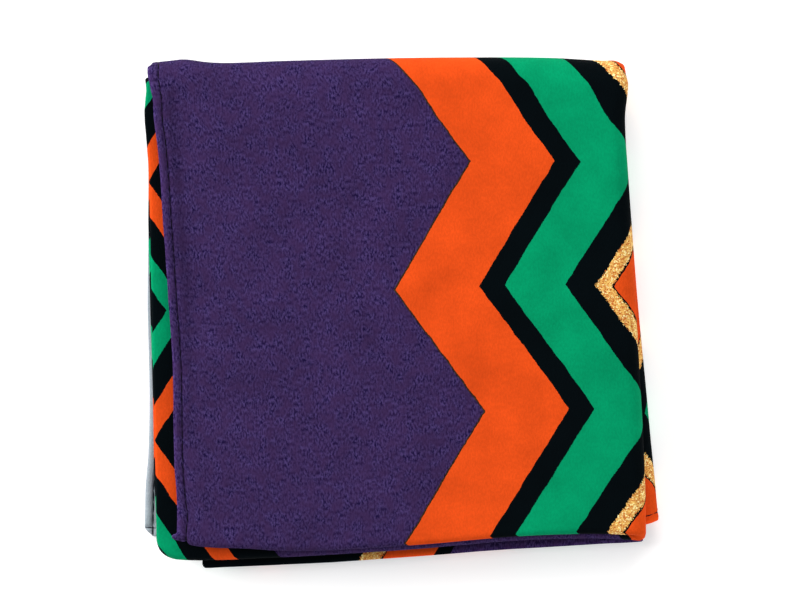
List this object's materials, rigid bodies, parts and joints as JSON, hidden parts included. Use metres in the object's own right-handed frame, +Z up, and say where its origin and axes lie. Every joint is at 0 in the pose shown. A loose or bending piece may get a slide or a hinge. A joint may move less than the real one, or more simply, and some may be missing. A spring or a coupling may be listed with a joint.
{
  "type": "folded furoshiki wrapping cloth",
  "caption": "Square printed cotton wrapping cloth with narrow stitched hems, folded to a thick square packet that lies flat, rolled at the top and right, open at the left.",
  "frame": {"origin": "under the middle of the folded packet, on the surface that it lies on", "axes": "+Z up through the layers, +X to the rolled side edge, +Y to the rolled top edge"},
  "size_m": [0.1828, 0.1816, 0.0223],
  "materials": {
    "printed_cotton": "matt plain-weave cotton, printed on one side, paler on the other"
  },
  "bodies": {
    "root": {"cloth": "printed_cotton"}
  },
  "joints": []
}
